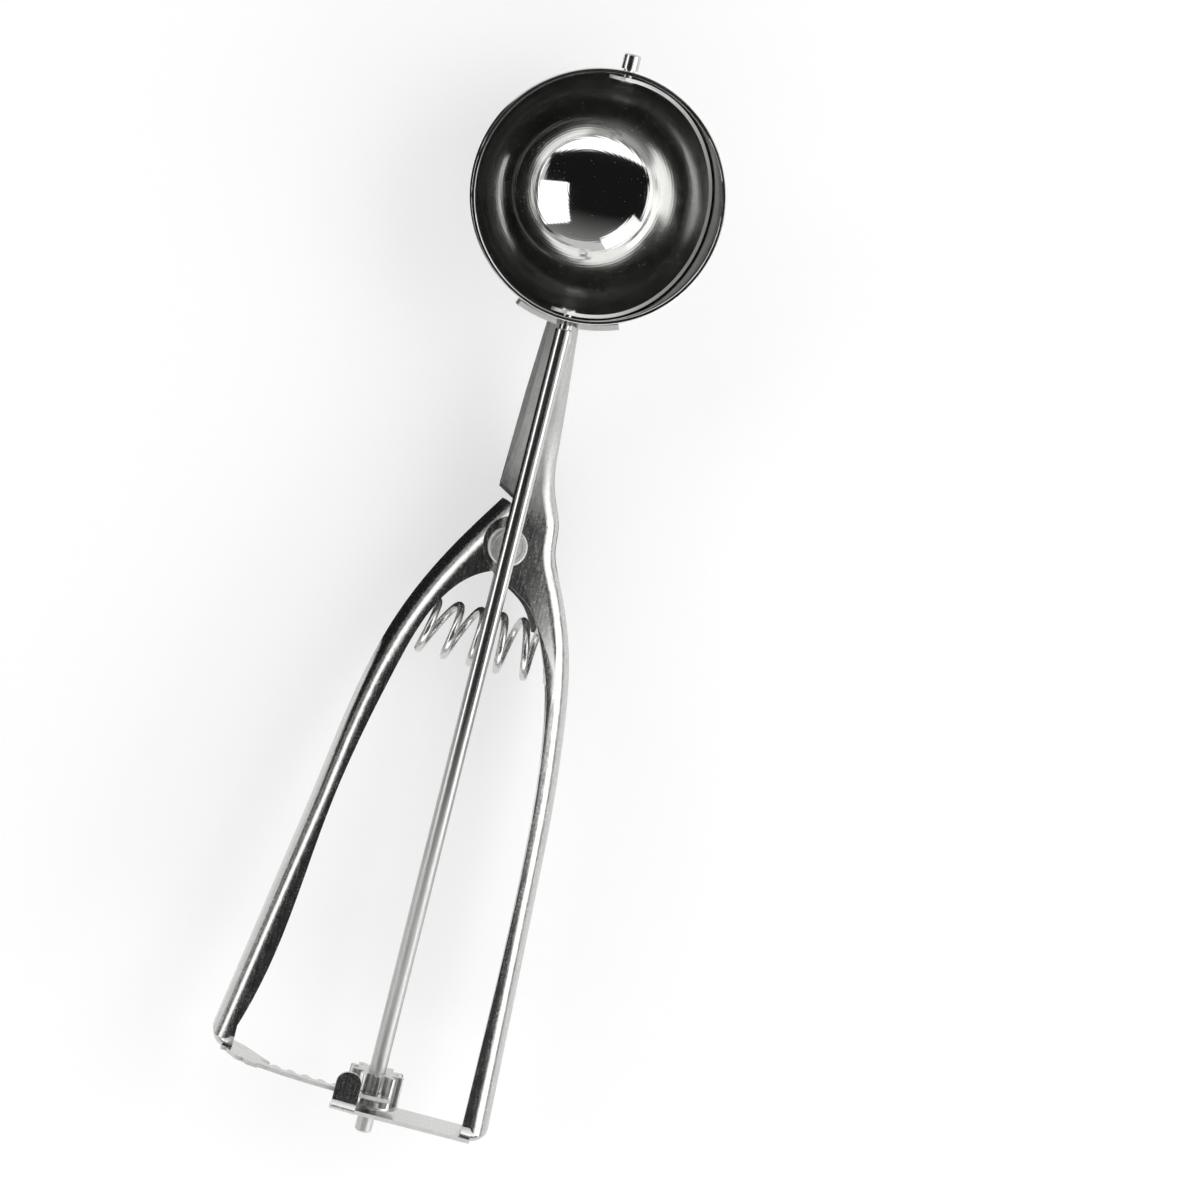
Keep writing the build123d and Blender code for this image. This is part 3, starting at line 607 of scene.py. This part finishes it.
front, back = EAR_DEPTH / 2, -EAR_DEPTH / 2
shape = turned_piece(
    [
        (0, front + RIVET_HEAD_HEIGHT - DISH_DEPTH),
        (DISH_FLOOR, front + RIVET_HEAD_HEIGHT - DISH_DEPTH),
        (DISH_RIM, front + RIVET_HEAD_HEIGHT),
        (RIVET_HEAD - RIVET_CHAMFER, front + RIVET_HEAD_HEIGHT),
        (RIVET_HEAD, front + RIVET_HEAD_HEIGHT - RIVET_CHAMFER),
        (RIVET_HEAD, front),
        (RIVET, front),
        (RIVET, back),
        (RIVET_TAIL, back),
        (RIVET_TAIL, back - RIVET_HEAD_HEIGHT + RIVET_CHAMFER),
        (RIVET_TAIL - RIVET_CHAMFER, back - RIVET_HEAD_HEIGHT),
        (0, back - RIVET_HEAD_HEIGHT),
    ],
    pivot,
    rivet_axis,
)
fit_piece(shape, "headed_rivet", "pivot_rivet", "frame", tumbled_steel)

# Pinion: a small ten-tooth gear, fixed on the lower end of the shaft, which the rack turns. It is
# cast and plated, so its teeth are a little rounded.
TOOTH_ROUND = 0.25 * MM

# Plated zinc casting: a bright half gloss over a slightly lumpy skin, drawn 0.4 mm wide.
CAST_SKIN = 0.4 * MM
plated_cast, shader, place = new_metal("plated_zinc_casting")
skin = add_node(
    plated_cast,
    "ShaderNodeTexNoise",
    {"Scale": 1 / (2 * CAST_SKIN), "Detail": 5.0, "Roughness": 0.6},
    {"Vector": place},
)
skin_rough = add_node(
    plated_cast,
    "ShaderNodeMapRange",
    {"From Min": 0.3, "From Max": 0.7, "To Min": 0.26, "To Max": 0.4},
    {"Value": skin.outputs["Fac"]},
)
shade = add_node(plated_cast, "ShaderNodeValToRGB", links={"Fac": skin.outputs["Fac"]})
shade.color_ramp.elements[0].color = linear("#b8b8b6")
shade.color_ramp.elements[1].color = linear("#e2e2e0")
skin_bump = add_node(
    plated_cast,
    "ShaderNodeBump",
    {"Strength": 0.35, "Distance": 0.03 * MM},
    {"Height": skin.outputs["Fac"]},
)
plated_cast.node_tree.links.new(shade.outputs["Color"], shader.inputs["Base Color"])
plated_cast.node_tree.links.new(skin_rough.outputs["Result"], shader.inputs["Roughness"])
plated_cast.node_tree.links.new(skin_bump.outputs["Normal"], shader.inputs["Normal"])
pressed_piece("pinion", "cast_pinion", "scraper", plated_cast, plated_cast, TOOTH_ROUND)

# Return spring: an open coil of bright spring wire held between the webs of the two channels. On
# the scoop it closes as the moving handle comes in, its left end going with that handle and its
# right end staying. Here it is one fixed mesh, tied to neither handle.
WIRE_EDGE = 0.05 * MM

# Bright spring wire: hard-drawn and tinned, a pale soft gloss with faint die marks.
DIE_MARK = 0.3 * MM
spring_steel, shader, place = new_metal("bright_spring_wire")
die_marks = add_node(
    spring_steel,
    "ShaderNodeTexNoise",
    {"Scale": 1 / (2 * DIE_MARK), "Detail": 4.0, "Roughness": 0.55},
    {"Vector": place},
)
wire_rough = add_node(
    spring_steel,
    "ShaderNodeMapRange",
    {"From Min": 0.3, "From Max": 0.7, "To Min": 0.22, "To Max": 0.34},
    {"Value": die_marks.outputs["Fac"]},
)
shade = add_node(spring_steel, "ShaderNodeValToRGB", links={"Fac": die_marks.outputs["Fac"]})
shade.color_ramp.elements[0].color = linear("#cdcdcb")
shade.color_ramp.elements[1].color = linear("#e2e2e0")
wire_bump = add_node(
    spring_steel,
    "ShaderNodeBump",
    {"Strength": 0.08, "Distance": 0.02 * MM},
    {"Height": die_marks.outputs["Fac"]},
)
spring_steel.node_tree.links.new(shade.outputs["Color"], shader.inputs["Base Color"])
spring_steel.node_tree.links.new(wire_rough.outputs["Result"], shader.inputs["Roughness"])
spring_steel.node_tree.links.new(wire_bump.outputs["Normal"], shader.inputs["Normal"])
spring = pressed_piece(
    "return_spring", "coiled_spring", None, spring_steel, spring_steel, WIRE_EDGE
)
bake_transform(spring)

# Studio: a pale table under the scoop, a white room, soft lamps above it and dark boards round it,
# which show only in the steel.
TABLE_HALF = 4
TABLE_GAP = 0.05 * MM
TABLE_LIFT = 0.48
ROOM_LIGHT = 0.55
scene = bpy.context.scene
scene.view_settings.view_transform = "Standard"
floor_shape = bmesh.new()
bmesh.ops.create_grid(
    floor_shape, size=TABLE_HALF, matrix=Matrix.Translation((0, 0, cad_box[0].z - TABLE_GAP))
)
floor_mesh = bpy.data.meshes.new("table_top")
floor_shape.to_mesh(floor_mesh)
floor_shape.free()
floor = bpy.data.objects.new("table_top", floor_mesh)
scene.collection.objects.link(floor)


def looked_at(owner):
    """Gives 1 to rays from the camera, a mirror or a glass, and 0 to all others."""
    rays = add_node(owner, "ShaderNodeLightPath").outputs
    either = rays["Is Camera Ray"]
    for kind in ("Is Glossy Ray", "Is Transmission Ray"):
        larger = add_node(
            owner, "ShaderNodeMath", links={0: either, 1: rays[kind]}, operation="MAXIMUM"
        )
        either = larger.outputs["Value"]
    return either


# White paper: matt, with a glow that those rays alone see, so that the table looks pale without
# lighting the scoop from below.
paper = bpy.data.materials.new("white_paper")
paper.use_nodes = True
paper.node_tree.nodes.clear()
lift = add_node(
    paper, "ShaderNodeMath", {1: TABLE_LIFT}, {0: looked_at(paper)}, operation="MULTIPLY"
)
glow = add_node(paper, "ShaderNodeEmission", links={"Strength": lift.outputs["Value"]})
matt = add_node(paper, "ShaderNodeBsdfDiffuse", {"Color": linear("#c0c0c0")})
total = add_node(
    paper, "ShaderNodeAddShader", links={0: glow.outputs["Emission"], 1: matt.outputs["BSDF"]}
)
add_node(paper, "ShaderNodeOutputMaterial", links={"Surface": total.outputs["Shader"]})
floor_mesh.materials.append(paper)

# White room: plain white to those rays, and about half as bright as a light.
world = bpy.data.worlds.new("white_room")
scene.world = world
world.use_nodes = True
world.node_tree.nodes.clear()
level = add_node(
    world,
    "ShaderNodeMapRange",
    {"From Min": 0.0, "From Max": 1.0, "To Min": ROOM_LIGHT, "To Max": 1.0},
    {"Value": looked_at(world)},
)
sky = add_node(world, "ShaderNodeBackground", links={"Strength": level.outputs["Result"]})
add_node(world, "ShaderNodeOutputWorld", links={"Surface": sky.outputs["Background"]})

# Boards: a dark ceiling and four low walls, paler at the far end, and a dark card just over the
# table on the left. Each has its place, width and height in metres and its turns in degrees.
PALER_FROM = 0.5
PALER_TO = 1.7
board_paint = bpy.data.materials.new("black_board")
board_paint.use_nodes = True
board_paint.node_tree.nodes.clear()
place = add_node(board_paint, "ShaderNodeTexCoord").outputs["Object"]
depth = add_node(board_paint, "ShaderNodeSeparateXYZ", links={"Vector": place}).outputs["Y"]
grey = add_node(
    board_paint,
    "ShaderNodeMapRange",
    {"From Min": PALER_FROM, "From Max": PALER_TO, "To Min": 0.012, "To Max": 0.3},
    {"Value": depth},
)
dark = add_node(board_paint, "ShaderNodeEmission", links={"Strength": grey.outputs["Result"]})
add_node(board_paint, "ShaderNodeOutputMaterial", links={"Surface": dark.outputs["Emission"]})
BOARDS = [
    ("ceiling_board", (-0.28, 0.15, 1.5), (3.84, 2.9), (0, 0, 7)),
    ("left_board", (-2.6, 0, 0.3), (5.2, 0.72), (90, 0, 90)),
    ("right_board", (2.6, 0, 0.3), (5.2, 0.72), (90, 0, 90)),
    ("near_board", (0, -2.6, 0.3), (5.2, 0.72), (90, 0, 0)),
    ("far_board", (0, 2.6, 0.3), (5.2, 0.72), (90, 0, 0)),
    ("left_flag", (-0.2, -0.04, cad_box[0].z + MM), (0.36, 0.28), (0, 0, 30)),
]
for name, spot, (wide, high), turn in BOARDS:
    board_shape = bmesh.new()
    bmesh.ops.create_grid(board_shape, size=0.5)
    bmesh.ops.scale(board_shape, vec=(wide, high, 1), verts=board_shape.verts)
    turned = Euler([radians(angle) for angle in turn]).to_matrix().to_4x4()
    bmesh.ops.transform(
        board_shape, matrix=Matrix.Translation(spot) @ turned, verts=board_shape.verts
    )
    board_mesh = bpy.data.meshes.new(name)
    board_shape.to_mesh(board_mesh)
    board_shape.free()
    board_mesh.materials.append(board_paint)
    board = bpy.data.objects.new(name, board_mesh)
    scene.collection.objects.link(board)
    board.visible_camera = False
    board.visible_diffuse = False
    board.visible_shadow = False
    board.visible_transmission = False
    board.visible_volume_scatter = False

# Softboxes round the bowl, which stand at an azimuth, an elevation and a distance. Each has its
# width and height in metres, its turn in degrees and its radiance.
LAMPS = [
    ("right_softbox", 27, 51, 1.48, 1.0, 0.8, -14, 2.2),
    ("low_right_softbox", -12, 24, 1.6, 1.8, 0.75, 0, 2.0),
    ("near_softbox", -83, 34, 1.6, 3.4, 0.85, 0, 1.3),
    ("left_softbox", 180, 27, 1.6, 1.8, 0.52, 0, 1.6),
    ("far_softbox", 139, 37, 1.6, 1.1, 0.6, 0, 1.5),
]
for name, azimuth, elevation, distance, wide, high, turn, radiance in LAMPS:
    lamp = bpy.data.lights.new(name, "AREA")
    lamp.shape = "RECTANGLE"
    lamp.size, lamp.size_y = wide, high
    lamp.energy = pi * wide * high * radiance
    holder = bpy.data.objects.new(name, lamp)
    scene.collection.objects.link(holder)
    bearing = radians(azimuth)
    rise = radians(elevation)
    way = Vector((cos(rise) * cos(bearing), cos(rise) * sin(bearing), sin(rise)))
    facing = way.to_track_quat("Z", "Y").to_matrix().to_4x4()
    spun = Matrix.Rotation(radians(turn), 4, "Z")
    holder.matrix_world = Matrix.Translation(way * distance) @ facing @ spun

# Camera: a long lens almost straight above the scoop, turned so that the bowl points up and a
# little to the right.
CAMERA_PLACE = Vector((-100, 37, 950)) * MM
CAMERA_RIGHT = Vector((0.96522, 0.24462, 0.09223))
CAMERA_UP = Vector((-0.23008, 0.96237, -0.1446))
FOCAL_LENGTH = 146.2
SENSOR_WIDTH = 36
NEAREST = 10 * MM
lens = bpy.data.cameras.new("camera")
lens.lens = FOCAL_LENGTH
lens.sensor_width = SENSOR_WIDTH
lens.clip_start = NEAREST
camera = bpy.data.objects.new("camera", lens)
scene.collection.objects.link(camera)
backwards = CAMERA_RIGHT.cross(CAMERA_UP)
aim = Matrix((CAMERA_RIGHT, CAMERA_UP, backwards)).transposed().to_4x4()
camera.matrix_world = Matrix.Translation(CAMERA_PLACE) @ aim
scene.camera = camera
